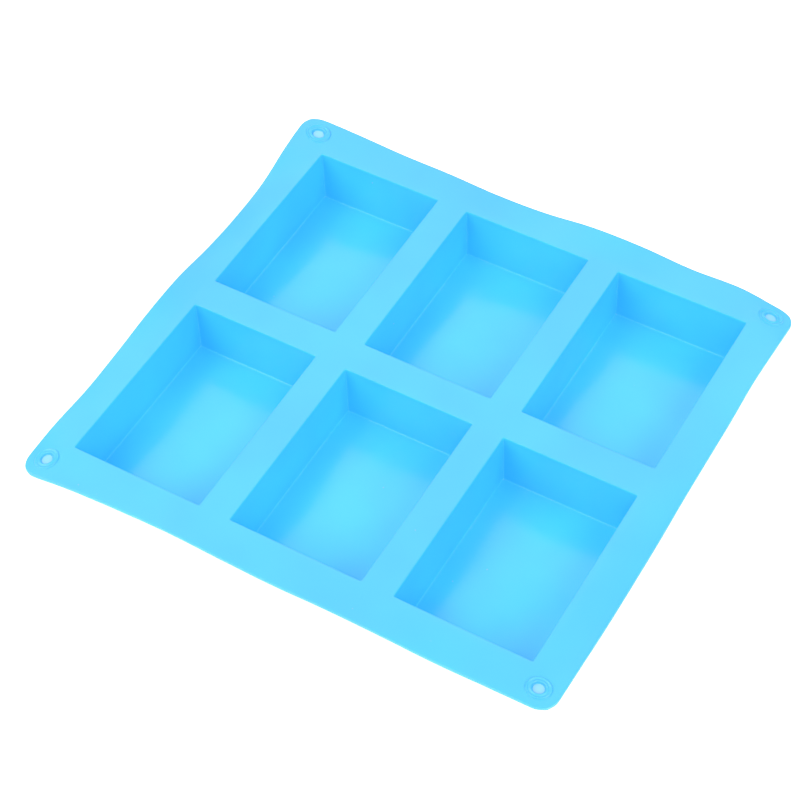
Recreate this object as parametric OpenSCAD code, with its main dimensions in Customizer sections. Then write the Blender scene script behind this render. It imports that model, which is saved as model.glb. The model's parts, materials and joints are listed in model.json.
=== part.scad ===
// Six-bar silicone soap mould: a thin flange that carries six drafted rectangular cups,
// with a reinforced hang hole in each corner, closed by a thin skin until it is first used.
// Millimetres, +Z up. The origin is the middle of the plane that the cups stand on.
// X runs across the three columns of cups and Y across the two rows, back row at +Y.
//
// The silicone is moulded in one shot. It is divided here where it bends in use: along the
// middle web, where it folds, and round each cup's floor, which is pushed up to free a bar.

/* [Cavities] */
// Cavity opening along X
cavity_w = 54; // [40:0.5:70]
// Cavity opening along Y
cavity_l = 80; // [60:0.5:100]
// Depth from the flange's top face to the cavity floor
cavity_depth = 23.4; // [15:0.1:35]
// How far each cavity wall leans in, from the flange down to the floor
draft = 0.7; // [0.3:0.1:2]
// Radius of a cavity's upright corners
cavity_corner_r = 1; // [0.5:0.1:3]

/* [Flange] */
// Thickness of the flange and of the webs between the cups
flange_t = 1.6; // [1:0.1:3]
// Width of the webs between columns
web_x = 13; // [10:0.5:20]
// Width of the middle web, between the rows
web_y = 14; // [12:0.5:20]
// Flange outside the cavities, at the left and right
margin_x = 13; // [12:0.5:20]
// Flange outside the cavities, at the front and back
margin_y = 15; // [12:0.5:20]
// Radius of the flange's outer corners
flange_corner_r = 7; // [3:0.5:11]

/* [Cups] */
// Thickness of a cup's walls
wall_t = 1.6; // [1:0.1:2.4]
// Thickness of a cup's floor
floor_t = 1.6; // [1:0.1:3]
// Rounding round the foot of a cup
foot_r = 1.2; // [0.5:0.1:1.5]

/* [Hang holes] */
// Diameter of a hang hole
hang_hole_d = 4.2; // [3:0.1:4.8]
// Diameter of the raised boss round a hang hole
boss_d = 8.4; // [7:0.1:10]
// Height of the boss above the flange
boss_h = 0.6; // [0.4:0.1:1.1]
// Depth from the top of the boss to the skin that closes the hole
skin_depth = 1.1; // [0.6:0.1:1.2]
// Thickness of that skin
skin_t = 0.4; // [0.2:0.1:0.4]
// Diameter of the recess under the skin
under_hole_d = 5; // [5:0.1:6]
// Distance from a hang hole's centre to each flange edge
hang_inset = 7; // [6:0.5:7]

/* [Working gaps] */
// Gap all round a cup's floor, so that it slides clear of the walls
floor_gap = 0.2; // [0.1:0.05:0.4]
// Gap between the two halves of the flange at the fold line
fold_gap = 2; // [1.8:0.1:3]

/* [Hidden] */

left = -1;
middle = 0;
right = 1;
front = -1;
back = 1;

column_pitch = cavity_w + web_x;
row_pitch = cavity_l + web_y;
flange_w = 3 * cavity_w + 2 * web_x + 2 * margin_x;
flange_l = 2 * cavity_l + web_y + 2 * margin_y;
flange_under_z = floor_t + cavity_depth - flange_t;

slice = 0.01;      // thickness of the thin slices that a hull joins
overcut = 1;       // how far a cutter runs past the face it opens
foot_steps = 4;    // facets round the foot of a cup
$fn = 48;

// How far the cavity wall has leaned in at height z
function lean(z) = draft * (flange_under_z - z) / (flange_under_z - floor_t);

function cup_x(column) = column * column_pitch;
function cup_y(row) = row * row_pitch / 2;

// Rectangle with rounded corners, centred
module rounded_plan(w, l, r) {
    square([w - 2 * r, l], center = true);
    square([w, l - 2 * r], center = true);
    for (x = [-1, 1], y = [-1, 1])
        translate([x * (w / 2 - r), y * (l / 2 - r)])
            circle(r);
}

// Cross-section of a cavity at height z, grown by grow on every side
module cavity_slice(z, grow = 0) {
    side = grow - lean(z);
    translate([0, 0, z])
        linear_extrude(slice)
            rounded_plan(cavity_w + 2 * side, cavity_l + 2 * side, cavity_corner_r + grow, $fn = 32);
}

// Outer shape of a cup below the flange, with its foot rounded
module cup_outside() {
    hull() {
        cavity_slice(flange_under_z - slice, wall_t);
        for (step = [0:foot_steps])
            cavity_slice(
                foot_r * (1 - sin(90 * step / foot_steps)),
                wall_t - foot_r * (1 - cos(90 * step / foot_steps))
            );
    }
}

// Inner shape of a cup below the flange, open at both ends
module cup_inside() {
    hull() {
        cavity_slice(flange_under_z + overcut);
        cavity_slice(-overcut);
    }
}

// Four drafted walls of one cup
module cup_walls(column, row) {
    color("deepskyblue")
        translate([cup_x(column), cup_y(row), 0])
            difference() {
                cup_outside();
                cup_inside();
            }
}

// Floor of one cup, level with the foot of its walls
module cup_floor(column, row) {
    inset = 2 * (draft + floor_gap);
    color("lightskyblue")
        translate([cup_x(column), cup_y(row), 0])
            linear_extrude(floor_t)
                rounded_plan(cavity_w - inset, cavity_l - inset, cavity_corner_r);
}

// Plan of the rectangle that a corner tab takes out of the flange
module tab_plan(side, row) {
    translate([side * (flange_w - margin_x) / 2, row * (flange_l - margin_y) / 2])
        square([margin_x, margin_y], center = true);
}

// Plan of the half of the sheet on one side of the fold line
module half_plan(row) {
    translate([0, row * (flange_l + fold_gap) / 4])
        square([flange_w, (flange_l - fold_gap) / 2], center = true);
}

// Half of the flange: its margin and webs, round three cavity openings
module flange(row) {
    color("deepskyblue")
        translate([0, 0, flange_under_z])
            linear_extrude(flange_t)
                difference() {
                    half_plan(row);
                    for (side = [left, right])
                        tab_plan(side, row);
                    for (column = [left, middle, right])
                        translate([cup_x(column), cup_y(row)])
                            rounded_plan(cavity_w, cavity_l, cavity_corner_r);
                }
}

// Corner of the flange, with its raised boss and hang hole
module corner_tab(side, row) {
    hang_x = side * (flange_w / 2 - hang_inset);
    hang_y = row * (flange_l / 2 - hang_inset);
    skin_top = flange_t + boss_h - skin_depth;
    color("skyblue")
        difference() {
            union() {
                translate([0, 0, flange_under_z])
                    linear_extrude(flange_t)
                        intersection() {
                            rounded_plan(flange_w, flange_l, flange_corner_r);
                            tab_plan(side, row);
                        }
                translate([hang_x, hang_y, flange_under_z])
                    cylinder(d = boss_d, h = flange_t + boss_h);
            }
            translate([hang_x, hang_y, flange_under_z + skin_top])
                cylinder(d = hang_hole_d, h = skin_depth + overcut);
            translate([hang_x, hang_y, flange_under_z - overcut])
                cylinder(d = under_hole_d, h = skin_top - skin_t + overcut);
        }
}

flange(front);  // flange_front
flange(back);  // flange_back

corner_tab(left, front);  // corner_tab_front_left
corner_tab(right, front);  // corner_tab_front_right
corner_tab(left, back);  // corner_tab_back_left
corner_tab(right, back);  // corner_tab_back_right

cup_walls(left, front);  // cup_walls_front_left
cup_walls(middle, front);  // cup_walls_front_middle
cup_walls(right, front);  // cup_walls_front_right
cup_walls(left, back);  // cup_walls_back_left
cup_walls(middle, back);  // cup_walls_back_middle
cup_walls(right, back);  // cup_walls_back_right

cup_floor(left, front);  // cup_floor_front_left
cup_floor(middle, front);  // cup_floor_front_middle
cup_floor(right, front);  // cup_floor_front_right
cup_floor(left, back);  // cup_floor_back_left
cup_floor(middle, back);  // cup_floor_back_middle
cup_floor(right, back);  // cup_floor_back_right
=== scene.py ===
import bmesh
import bpy
import json
import math
from mathutils import Matrix, Vector


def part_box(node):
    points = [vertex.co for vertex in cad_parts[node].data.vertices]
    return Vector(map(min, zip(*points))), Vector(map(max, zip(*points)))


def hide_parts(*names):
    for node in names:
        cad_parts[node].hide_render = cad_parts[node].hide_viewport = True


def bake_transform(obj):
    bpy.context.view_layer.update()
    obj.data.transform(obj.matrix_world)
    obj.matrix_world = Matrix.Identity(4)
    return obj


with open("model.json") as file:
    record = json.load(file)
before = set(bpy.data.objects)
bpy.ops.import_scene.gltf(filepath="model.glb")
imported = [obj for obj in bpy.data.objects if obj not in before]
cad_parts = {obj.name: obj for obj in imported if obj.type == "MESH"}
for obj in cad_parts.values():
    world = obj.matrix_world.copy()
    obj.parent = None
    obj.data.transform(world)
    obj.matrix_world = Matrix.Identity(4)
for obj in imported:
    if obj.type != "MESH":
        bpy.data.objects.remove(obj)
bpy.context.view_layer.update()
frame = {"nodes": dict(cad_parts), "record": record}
mm = 0.001
near = mm / 10  # closer than this is the same place
scene = bpy.context.scene

# Places and sizes that the frame gives, in metres
rowNames = ("front", "back")
columnNames = ("left", "middle", "right")
flangeLow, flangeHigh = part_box("flange_back")
sheetTop = flangeHigh.z
sheetUnder = flangeLow.z
thickness = sheetTop - sheetUnder
sheetHalf = (flangeHigh.x, flangeHigh.y)
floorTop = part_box("cup_floor_front_left")[1].z
cupCentres = {}
for row in rowNames:
    for column in columnNames:
        low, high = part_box(f"cup_walls_{row}_{column}")
        cupCentres[row, column] = (low + high) / 2
openingHalf = [(high[axis] - low[axis]) / 2 - thickness for axis in (0, 1)]
hangHoles = [mount for mount in frame["record"]["mounts"] if mount["kind"] == "bore"]
holePlace = [abs(value) for value in hangHoles[0]["pos_m"][:2]]
print("frame read:", len(cupCentres), "cups,", len(hangHoles), "hang holes")

# The mould starts as a cage: two skins of quads, joined at the sheet's edge
mouldShape = {  # millimetres
    "draft": 0.7,  # how far a cavity wall leans in on its way down
    "lipRound": 0.8,  # holding loops beside an edge set how tightly it rounds: here the lips
    "cornerRound": 1.0,  # a cavity's upright corners
    "floorRound": 0.6,  # the foot of a cavity's walls, up the wall
    "floorEase": 0.7,  # and out across the floor
    "footRound": 1.5,  # the foot of a cup's outside
    "edgeRound": 0.6,  # the sheet's free edge
    "sheetCorner": 6.2,  # radius of the sheet's corners, in plan
    "bossBlock": 5.0,  # half the square that a boss takes out of the sheet
    "holeBlock": 3.6,  # the same on the underside
    "bossSides": 16,
    "smoothing": 2,  # subdivision levels
}
shape = {name: value * mm for name, value in mouldShape.items()}

satin, polished, matte, film = range(4)  # the finishes that the tool leaves, as material slots

# Each skin: its sheet and floor heights, how far it stands outside the cavity, and its own holding loops
topSkin = {"sheet": sheetTop, "floor": floorTop, "grow": 0, "block": shape["bossBlock"],
           "corner": shape["cornerRound"], "foot": shape["floorRound"], "ease": shape["floorEase"]}
underSkin = {"sheet": sheetUnder, "floor": 0, "grow": thickness, "block": shape["holeBlock"],
             "corner": shape["cornerRound"] + thickness / 2, "foot": shape["footRound"],
             "ease": shape["footRound"]}

# A boss and its hole, and the hole's foot on the underside, as rings: radius, height above the sheet's top.
# The boss has a shallow groove round its top, and a thin skin closes the hole at mid-thickness.
bossRings = [(4.6, 0), (4.25, -0.04), (4.15, 0.3), (4.0, 0.56), (3.75, 0.6), (3.45, 0.4), (3.15, 0.28),
             (2.85, 0.45), (2.6, 0.6), (2.3, 0.5), (2.12, 0.25), (2.08, -0.3), (1.9, -0.5), (1.2, -0.5)]
footRings = [(3.2, -1.6), (2.7, -1.6), (2.5, -1.35), (2.5, -1.05), (2.3, -0.9), (1.2, -0.9)]


def cupAt(point, margin):
    # The cup whose opening, grown by margin, holds this point in plan
    for name, centre in cupCentres.items():
        if all(abs(point[axis] - centre[axis]) < openingHalf[axis] + margin for axis in (0, 1)):
            return name


def loopPlaces(axis, skin):
    # Where the grid's lines cross this axis: holding loops, and a few between for bending
    places = set()
    cupHalf = openingHalf[axis] + skin["grow"]
    rungs = ((-1 / 2, 0, 1 / 2), (-2 / 3, -1 / 3, 0, 1 / 3, 2 / 3))[axis]
    centres = sorted({centre[axis] for centre in cupCentres.values()})
    for centre in centres:
        for side in (-1, 1):
            for offset in (cupHalf + shape["lipRound"], cupHalf, cupHalf - skin["corner"]):
                places.add(centre + side * offset)
        places.update(centre + cupHalf * rung for rung in rungs)
    for a, b in zip(centres, centres[1:]):  # the webs between cups
        webHalf = (b - a) / 2 - cupHalf - shape["lipRound"]
        rungs = ((0,), (-2 / 3, -1 / 3, 0, 1 / 3, 2 / 3))[axis]
        places.update((a + b) / 2 + webHalf * rung for rung in rungs)
    for side in (-1, 1):
        places.update(side * (holePlace[axis] + skin["block"] * rung) for rung in (-1, -1 / 2, 0, 1 / 2, 1))
        places.add(side * (sheetHalf[axis] - shape["edgeRound"]))
    return sorted({round(place, 6) for place in places})


def cutAcross(bm, axis, place):
    normal = [float(axis == other) for other in range(3)]
    bmesh.ops.bisect_plane(bm, geom=bm.verts[:] + bm.edges[:] + bm.faces[:], dist=mm / 100,
                           plane_co=[place * part for part in normal], plane_no=normal)


def makeSkin(skin, sheetFinish, pocketFinish):
    bm = bmesh.new()
    bmesh.ops.create_grid(bm, x_segments=1, y_segments=1, size=1)
    bmesh.ops.scale(bm, vec=(*sheetHalf, 1), verts=bm.verts)
    bmesh.ops.translate(bm, vec=(0, 0, skin["sheet"]), verts=bm.verts)
    for axis in (0, 1):
        for place in loopPlaces(axis, skin):
            cutAcross(bm, axis, place)
    pockets = [face for face in bm.faces if cupAt(face.calc_center_median(), skin["grow"])]
    pulled = bmesh.ops.extrude_face_region(bm, geom=pockets)["geom"]
    bmesh.ops.delete(bm, geom=pockets, context="FACES")
    floor = [part for part in pulled if isinstance(part, bmesh.types.BMVert)]
    bmesh.ops.translate(bm, vec=(0, 0, skin["floor"] - skin["sheet"]), verts=floor)
    for name, centre in cupCentres.items():
        cupFloor = [vert for vert in floor if cupAt(vert.co, skin["grow"] + near) == name]
        cupHalf = [half + skin["grow"] for half in openingHalf]
        for vert in cupFloor:
            inset = [cupHalf[axis] - abs(vert.co[axis] - centre[axis]) for axis in (0, 1)]
            for axis in (0, 1):
                if min(inset) > near and inset[axis] < skin["corner"] + near:
                    shift = skin["ease"] - inset[axis]
                    vert.co[axis] -= math.copysign(shift, vert.co[axis] - centre[axis])
        lean = [(half - shape["draft"]) / half for half in cupHalf]
        bmesh.ops.scale(bm, vec=(*lean, 1), space=Matrix.Translation(-centre), verts=cupFloor)
    wallLow = skin["floor"] + skin["foot"]
    wallHigh = skin["sheet"] - shape["lipRound"]
    for rung in range(5):
        cutAcross(bm, 2, wallLow + (wallHigh - wallLow) * rung / 4)
    for face in bm.faces:
        inPocket = face.calc_center_median().z < skin["sheet"] - near
        face.material_index = pocketFinish if inPocket else sheetFinish
    return bm


def roundSheetCorners(bm):
    # Squares beyond each corner's arc centre become quarter discs
    radius = shape["sheetCorner"]
    for vert in bm.verts:
        u, v = [(abs(vert.co[axis]) - sheetHalf[axis]) / radius + 1 for axis in (0, 1)]
        if u > 0 and v > 0:
            inward = (u * (1 - math.sqrt(1 - v * v / 2)), v * (1 - math.sqrt(1 - u * u / 2)))
            for axis in (0, 1):
                vert.co[axis] -= math.copysign(inward[axis] * radius, vert.co[axis])


def openRing(bm, hole, top):
    # Takes a block of faces out of one skin round a hang hole, and gives the open loop round it
    block = (topSkin if top else underSkin)["block"]
    middle = (sheetTop + sheetUnder) / 2

    def within(point, reach):
        inPlan = all(abs(point[axis] - hole[axis]) < reach for axis in (0, 1))
        return inPlan and (point.z > middle) == top

    gone = [face for face in bm.faces if within(face.calc_center_median(), block)]
    bmesh.ops.delete(bm, geom=gone, context="FACES")
    return [edge for edge in bm.edges if edge.is_boundary and within(edge.verts[0].co, block + mm)]


def addRings(bm, hole, ring, rings):
    step = 2 * math.pi / mouldShape["bossSides"]
    for radius, height in rings:
        made = bmesh.ops.extrude_edge_only(bm, edges=ring)["geom"]
        verts = {part for part in made if isinstance(part, bmesh.types.BMVert)}
        ring = [part for part in made
                if isinstance(part, bmesh.types.BMEdge) and verts.issuperset(part.verts)]
        for vert in verts:
            turn = round(math.atan2(vert.co.y - hole[1], vert.co.x - hole[0]) / step) * step
            vert.co = (hole[0] + radius * mm * math.cos(turn),
                       hole[1] + radius * mm * math.sin(turn),
                       sheetTop + height * mm)
    lastBand = {face for edge in ring for face in edge.link_faces}
    skin = bmesh.ops.edgeloop_fill(bm, edges=ring)["faces"]
    for face in (*lastBand, *skin):
        face.material_index = film


def makeCage():
    bm = makeSkin(topSkin, satin, polished)
    lower = makeSkin(underSkin, matte, matte)
    bmesh.ops.reverse_faces(lower, faces=lower.faces)
    passing = bpy.data.meshes.new("passing")
    lower.to_mesh(passing)
    bm.from_mesh(passing)
    bpy.data.meshes.remove(passing)
    rim = bmesh.ops.bridge_loops(bm, edges=[edge for edge in bm.edges if edge.is_boundary])
    for face in rim["faces"]:
        face.material_index = satin
    holes = [mount["pos_m"] for mount in hangHoles]
    rings = [(openRing(bm, hole, True), openRing(bm, hole, False)) for hole in holes]
    roundSheetCorners(bm)
    for hole, (ring, underRing) in zip(holes, rings):
        addRings(bm, hole, ring, bossRings)
        addRings(bm, hole, underRing, footRings)
    bmesh.ops.recalc_face_normals(bm, faces=bm.faces)
    return bm


def addObject(name, bm):
    mesh = bpy.data.meshes.new(name)
    bm.to_mesh(mesh)
    bm.free()
    piece = bpy.data.objects.new(name, mesh)
    scene.collection.objects.link(piece)
    return piece


def smoothed(bm):
    # The cage rounded by subdivision, as a fine mesh
    cage = addObject("cage", bm)
    rounding = cage.modifiers.new("rounding", "SUBSURF")
    rounding.levels = rounding.render_levels = mouldShape["smoothing"]
    fine = bmesh.new()
    fine.from_object(cage, bpy.context.evaluated_depsgraph_get())
    bpy.data.objects.remove(cage)
    return fine


cage = makeCage()
openEdges = [edge for edge in cage.edges if not edge.is_manifold]
print("cage:", len(cage.faces), "faces,", len(openEdges), "open edges")
mould = smoothed(cage)
print("smoothed:", len(mould.faces), "faces")

# Silicone is soft: the free margin ripples, and the cups' floors bow
ripple = {  # millimetres, at even steps along each side, from the front or left corner on
    "stiffTo": 2.0,  # a cup's walls hold the sheet flat this far out
    "curl": 1.3,  # power that the margin curls by
    "lift": {
        "left": (-3.2, -1.2, -2, -1, 1.3, 2, -1, -2.5, -1, 2, 0.7),
        "right": (-0.3, -1, -2, -2.3, -2, -1.3, -0.8, -0.4, 0, -1, -4),
        "front": (-3.2, -0.6, 0.5, 0.7, 0, -0.4, -0.1, 0, -0.8, -0.4, -0.3),
        "back": (0.7, 1, 0, 0.2, -1.3, -0.9, 1.5, 1.5, -0.2, 0.1, -4),
    },
    "reach": {  # outwards
        "left": (1.2, 0.5, 0.3, 0.3, 0, -0.3, 0, 0.3, 0.1, 1.3, 3.7),
        "right": (1.6, 1.8, 2, 2, 2, 1.8, 1.8, 1.8, 1.5, 1.8, 1.7),
        "front": (1.8, 1.3, 0.9, 0.6, 0.8, 1, 0.8, 1, 1, 0.9, 0.7),
        "back": (2.3, 1.2, 0.8, 0.2, 0.4, 0.4, 0.4, 0.4, 0.4, 0.4, 0.4),
    },
}
floorBow = {"height": 0.8, "wander": 0.5, "fadeOver": 3.0}  # millimetres


def along(values, share):
    # A smooth curve through evenly spaced values
    place = share * (len(values) - 1)
    first = max(0, min(int(place), len(values) - 2))
    t = place - first
    a, b, c, d = [values[max(0, min(first + step, len(values) - 1))] for step in (-1, 0, 1, 2)]
    return (b + (c - a) * t / 2
            + (2 * a - 5 * b + 4 * c - d) * t ** 2 / 2
            + (3 * b - a - 3 * c + d) * t ** 3 / 2)


def rippleSheet(bm):
    marginFrom = [max(abs(centre[axis]) for centre in cupCentres.values()) + openingHalf[axis]
                  + ripple["stiffTo"] * mm for axis in (0, 1)]
    for vert in bm.verts:
        x, y = vert.co.x, vert.co.y
        out = [max(0, (abs(vert.co[axis]) - marginFrom[axis]) / (sheetHalf[axis] - marginFrom[axis]))
               for axis in (0, 1)]
        if out == [0, 0]:
            continue
        sides = ("right" if x > 0 else "left", "back" if y > 0 else "front")
        shares = (y / sheetHalf[1] / 2 + 0.5, x / sheetHalf[0] / 2 + 0.5)
        weight = [part ** ripple["curl"] for part in out]
        lifts = [along(ripple["lift"][side], share) for side, share in zip(sides, shares)]
        corner = ripple["lift"][sides[0]][-1 if y > 0 else 0]
        vert.co.z += (weight[0] * lifts[0] + weight[1] * lifts[1] - weight[0] * weight[1] * corner) * mm
        for axis in (0, 1):
            reach = along(ripple["reach"][sides[axis]], shares[axis]) * out[axis] * mm
            vert.co[axis] += math.copysign(1, vert.co[axis]) * reach


def bowFloors(bm):
    fade = floorBow["fadeOver"] * mm
    for vert in bm.verts:
        name = cupAt(vert.co, thickness)
        if name is None or vert.co.z > floorTop + fade:
            continue
        centre = cupCentres[name]
        u, v = [(vert.co[axis] - centre[axis]) / openingHalf[axis] for axis in (0, 1)]
        dome = max(0, 1 - u * u) * max(0, 1 - v * v)
        number = list(cupCentres).index(name)
        wander = math.sin(2.3 * u + 1.7 * number) * math.cos(3.1 * v + 0.9 * number)
        height = floorBow["height"] + floorBow["wander"] * wander
        hold = 1 - max(0, vert.co.z - floorTop) / fade
        vert.co.z += dome * height * hold * mm


rippleSheet(mould)
bowFloors(mould)
print("margin rippled and floors bowed")

# Two kinds of piece: the sheet, and a cup under each opening
seam = {  # millimetres
    "below": 1.0,  # under the sheet, on the plain of the wall
    "spread": 0.4,  # room round a cup, for the skin that rounding pushes out
    "slack": 0.001,
}
cupReach = thickness + seam["spread"] * mm


def cutSeam(bm, height):
    # Marks each cup's faces below the seam with its number, and the rest with 0
    walls = [face for face in bm.faces if cupAt(face.calc_center_median(), cupReach)
             and face.calc_center_median().z < sheetTop - mm]
    parts = {part for face in walls for part in (*face.verts, *face.edges, face)}
    bmesh.ops.bisect_plane(bm, geom=list(parts), dist=seam["slack"] * mm,
                           plane_co=(0, 0, height), plane_no=(0, 0, 1))
    region = bm.faces.layers.int.new("region")
    names = list(cupCentres)
    for face in bm.faces:
        centre = face.calc_center_median()
        name = cupAt(centre, cupReach)
        face[region] = names.index(name) + 1 if name and centre.z < height else 0


def takePiece(bm, number, pieceName):
    part = bm.copy()
    region = part.faces.layers.int["region"]
    bmesh.ops.delete(part, geom=[face for face in part.faces if face[region] != number], context="FACES")
    for name in cupCentres:
        ends = [edge for edge in part.edges
                if edge.is_boundary and cupAt(edge.verts[0].co, 2 * thickness) == name]
        if ends:
            cap = bmesh.ops.bridge_loops(part, edges=ends)["faces"]
            for edge in ends:
                edge.smooth = False
            for face in cap:
                face.material_index = matte
    for face in part.faces:
        face.smooth = True
    bmesh.ops.recalc_face_normals(part, faces=part.faces)
    piece = addObject(pieceName, part)
    return piece


cutSeam(mould, sheetUnder - seam["below"] * mm)
sheet = takePiece(mould, 0, "sheet")
cups = {name: takePiece(mould, number + 1, "cup" + name[0].title() + name[1].title())
        for number, name in enumerate(cupCentres)}
mould.free()
print("pieces made:", sheet.name, *(cup.name for cup in cups.values()))


def toLinear(hexColour):
    parts = [int(hexColour[place:place + 2], 16) / 255 for place in (1, 3, 5)]
    return [part / 12.92 if part <= 0.04045 else ((part + 0.055) / 1.055) ** 2.4 for part in parts] + [1]


def addNode(tree, kind, settings=None, inputs=None):
    # Inputs go by name or place: each is a value, or another node's socket to link
    node = tree.nodes.new(kind)
    for name, value in (settings or {}).items():
        setattr(node, name, value)
    for name, value in (inputs or {}).items():
        if isinstance(value, bpy.types.NodeSocket):
            tree.links.new(value, node.inputs[name])
        else:
            node.inputs[name].default_value = value
    return node


silicone = {
    "sheetColour": "#36ADFC",
    "pocketPaintedLightColour": "#34C0FC",  # painted light: a brighter, slightly deeper copy of the sheet's blue, standing in for light that bounces about inside a cup
    "filmColour": "#74BFEA",
    "ior": 1.41,
    "satin": {"roughness": 0.33, "grain": 0.004},  # grain: millimetres deep
    "polished": {"roughness": 0.21, "grain": 0.001},
    "matte": {"roughness": 0.5, "grain": 0.05},
    "unevenRoughness": 0.04,
    "unevenAcross": 12.7,  # millimetres
    "cloudAcross": 38.0,  # millimetres: patches where the pigment lies a little deeper
    "cloudDepth": 0.12,
    "waveAcross": 34.0,  # millimetres: slow waves, as the rubber shrinks while it cures
    "waveDepth": 0.35,
    "grainAcross": 0.8,  # millimetres: really about 0.1, but drawn as coarse as it needs to show
    "dustApart": 11.0,  # millimetres between specks of dust, which cling to silicone
    "dustRadius": 0.3,
    "dustColour": "#7C9DAE",
    "dustShow": 0.8,
}


def makeSilicone(name, colour, finish):
    # Platinum-cured silicone rubber with blue pigment, cast in a steel tool: an even colour, a soft gloss
    # that varies a little from place to place, slow waves, and a few specks of dust
    material = bpy.data.materials.new(name)
    material.use_nodes = True
    tree = material.node_tree
    shader = tree.nodes["Principled BSDF"]
    shader.inputs["IOR"].default_value = silicone["ior"]
    place = addNode(tree, "ShaderNodeTexCoord").outputs["Object"]
    smoothly = {"interpolation_type": "SMOOTHSTEP"}

    cloud = addNode(tree, "ShaderNodeTexNoise",
                    inputs={"Vector": place, "Scale": 1 / (silicone["cloudAcross"] * mm), "Detail": 2})
    share = addNode(tree, "ShaderNodeMapRange", smoothly,
                    {"Value": cloud.outputs[0], "From Min": 0.2, "From Max": 0.8, "To Min": 0, "To Max": 1})
    pigment = toLinear(colour)
    deeper = [part * (1 - silicone["cloudDepth"]) for part in pigment[:3]] + [1]
    clouded = addNode(tree, "ShaderNodeMixRGB",
                      inputs={"Fac": share.outputs[0], "Color1": pigment, "Color2": deeper})

    # Specks are balls in space, so only the few that meet the surface show
    size = silicone["dustRadius"] / silicone["dustApart"]
    specks = addNode(tree, "ShaderNodeTexVoronoi",
                     inputs={"Vector": place, "Scale": 1 / (silicone["dustApart"] * mm)})
    dust = addNode(tree, "ShaderNodeMapRange", smoothly,
                   {"Value": specks.outputs["Distance"], "From Min": size * 0.6, "From Max": size,
                    "To Min": silicone["dustShow"], "To Max": 0})
    dusty = addNode(tree, "ShaderNodeMixRGB",
                    inputs={"Fac": dust.outputs[0], "Color1": clouded.outputs[0],
                            "Color2": toLinear(silicone["dustColour"])})
    tree.links.new(dusty.outputs[0], shader.inputs["Base Color"])

    patches = addNode(tree, "ShaderNodeTexNoise",
                      inputs={"Vector": place, "Scale": 1 / (silicone["unevenAcross"] * mm), "Detail": 3})
    gloss = addNode(tree, "ShaderNodeMapRange", smoothly,
                    {"Value": patches.outputs[0], "From Min": 0.2, "From Max": 0.8,
                     "To Min": finish["roughness"] - silicone["unevenRoughness"],
                     "To Max": finish["roughness"] + silicone["unevenRoughness"]})
    tree.links.new(gloss.outputs[0], shader.inputs["Roughness"])

    waves = addNode(tree, "ShaderNodeTexNoise",
                    inputs={"Vector": place, "Scale": 1 / (silicone["waveAcross"] * mm), "Detail": 1})
    grain = addNode(tree, "ShaderNodeTexNoise",
                    inputs={"Vector": place, "Scale": 1 / (silicone["grainAcross"] * mm), "Detail": 2})
    fine = addNode(tree, "ShaderNodeMath", {"operation": "MULTIPLY"},
                   {0: grain.outputs[0], 1: finish["grain"]})
    height = addNode(tree, "ShaderNodeMath", {"operation": "MULTIPLY_ADD"},
                     {0: waves.outputs[0], 1: silicone["waveDepth"], 2: fine.outputs[0]})
    relief = addNode(tree, "ShaderNodeBump", inputs={"Height": height.outputs[0], "Distance": mm})
    tree.links.new(relief.outputs["Normal"], shader.inputs["Normal"])
    return material


# The sheet's top is cast against etched steel, for a broad sheen, and the cavities against polished cores,
# for a soft reflection. The underside is cast against blasted steel and hardly shines.
# The film in the hang holes is so thin that the white beneath it pales its blue.
# The cavities' material carries the pocket colour, painted light that lifts the shade inside the cups.
finishes = [makeSilicone("satinMouldedSilicone", silicone["sheetColour"], silicone["satin"]),
            makeSilicone("polishedSiliconePaintedLight", silicone["pocketPaintedLightColour"], silicone["polished"]),
            makeSilicone("matteMouldedSilicone", silicone["sheetColour"], silicone["matte"]),
            makeSilicone("thinSiliconeFilm", silicone["filmColour"], silicone["satin"])]
for piece in (sheet, *cups.values()):
    for finish in finishes:
        piece.data.materials.append(finish)
print("materials made")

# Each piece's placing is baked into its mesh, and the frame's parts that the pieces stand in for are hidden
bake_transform(sheet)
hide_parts(*(name for name in frame["nodes"] if not name.startswith("cup")))
for (row, column), cup in cups.items():
    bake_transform(cup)
    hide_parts(f"cup_walls_{row}_{column}", f"cup_floor_{row}_{column}")

# Softboxes round the mould: where each stands, in degrees and metres, and how bright it is,
# where 1 would light white paper fully if it filled the whole sky
softboxes = {
    "behind": {"azimuth": 206, "elevation": 47, "width": 2.4, "height": 1.3, "strength": 1.28},
    "front": {"azimuth": 0, "elevation": 40, "width": 1.6, "height": 1.6, "strength": 2.3},
    "right": {"azimuth": 80, "elevation": 40, "width": 1.6, "height": 1.6, "strength": 4.1},
    "left": {"azimuth": -60, "elevation": 45, "width": 1.6, "height": 1.6, "strength": 3.4},
}
studio = {
    "distance": 2.0,
    "world": 0.3,
    "gamma": 1.25,  # lifts the shadows
    "table": 3.0,  # metres each way
    "tableColour": "#F8F8F8",
    "tableRoughness": 0.9,
    "tableGlow": 0.6,  # the table is lit from below
}


def makeAcrylic():
    # Opal acrylic sheet, sanded matte: an even white glow with no reflection
    acrylic = bpy.data.materials.new("litWhiteAcrylic")
    acrylic.use_nodes = True
    inputs = acrylic.node_tree.nodes["Principled BSDF"].inputs
    inputs["Base Color"].default_value = toLinear(studio["tableColour"])
    inputs["Roughness"].default_value = studio["tableRoughness"]
    inputs["Emission Color"].default_value = (1, 1, 1, 1)
    inputs["Emission Strength"].default_value = studio["tableGlow"]
    return acrylic


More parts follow.
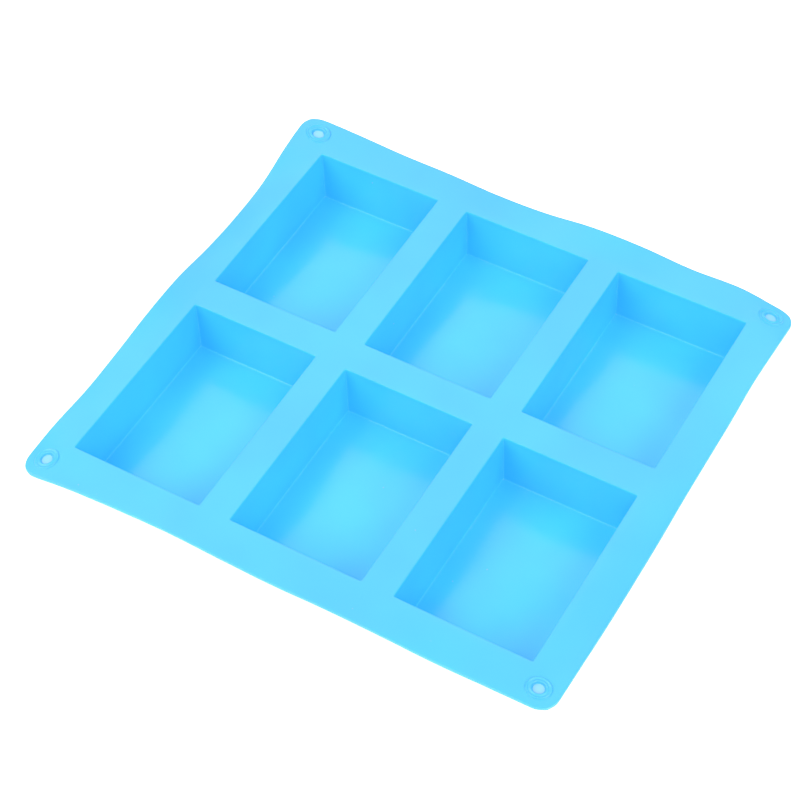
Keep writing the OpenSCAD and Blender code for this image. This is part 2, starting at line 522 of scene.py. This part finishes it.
floorMesh = bmesh.new()
bmesh.ops.create_grid(floorMesh, x_segments=1, y_segments=1, size=studio["table"])
floor = addObject("studioFloor", floorMesh)
floor.data.materials.append(makeAcrylic())

world = bpy.data.worlds.new("studio")
scene.world = world
world.use_nodes = True
world.node_tree.nodes["Background"].inputs["Color"].default_value = (1, 1, 1, 1)
world.node_tree.nodes["Background"].inputs["Strength"].default_value = studio["world"]

view = {  # degrees and millimetres
    "azimuth": 30.86,
    "elevation": 50.46,
    "roll": -1.28,
    "distance": 815.3,
    "lens": 99.36,
    "aim": (-1.67, -10.13),  # the point on the sheet that the camera looks at
}


def towards(azimuth, elevation):
    # From the mould, outwards: azimuth 0 is the front, and turns towards the right
    return Vector((math.sin(azimuth) * math.cos(elevation), -math.cos(azimuth) * math.cos(elevation),
                   math.sin(elevation)))


def addCamera():
    azimuth, elevation, roll = [math.radians(view[name]) for name in ("azimuth", "elevation", "roll")]
    back = towards(azimuth, elevation)
    right = Vector((math.cos(azimuth), math.sin(azimuth), 0))
    up = back.cross(right)
    turned = (right * math.cos(roll) + up * math.sin(roll),
              up * math.cos(roll) - right * math.sin(roll),
              back)
    camera = bpy.data.objects.new("camera", bpy.data.cameras.new("camera"))
    camera.data.lens = view["lens"]
    camera.matrix_world = Matrix(turned).transposed().to_4x4()
    aim = Vector((view["aim"][0] * mm, view["aim"][1] * mm, sheetTop))
    camera.location = aim + back * view["distance"] * mm
    scene.collection.objects.link(camera)
    scene.camera = camera


def addSoftbox(name, azimuth, elevation, width, height, strength):
    lamp = bpy.data.lights.new(name, "AREA")
    lamp.shape = "RECTANGLE"
    lamp.size = width
    lamp.size_y = height
    lamp.energy = strength * math.pi * width * height
    back = towards(math.radians(azimuth), math.radians(elevation))
    panel = bpy.data.objects.new(name, lamp)
    panel.location = back * studio["distance"]
    panel.rotation_euler = back.to_track_quat("Z", "Y").to_euler()
    scene.collection.objects.link(panel)


for name, settings in softboxes.items():
    addSoftbox(name, **settings)
addCamera()
scene.view_settings.view_transform = "Standard"
scene.view_settings.gamma = studio["gamma"]
print("studio ready")
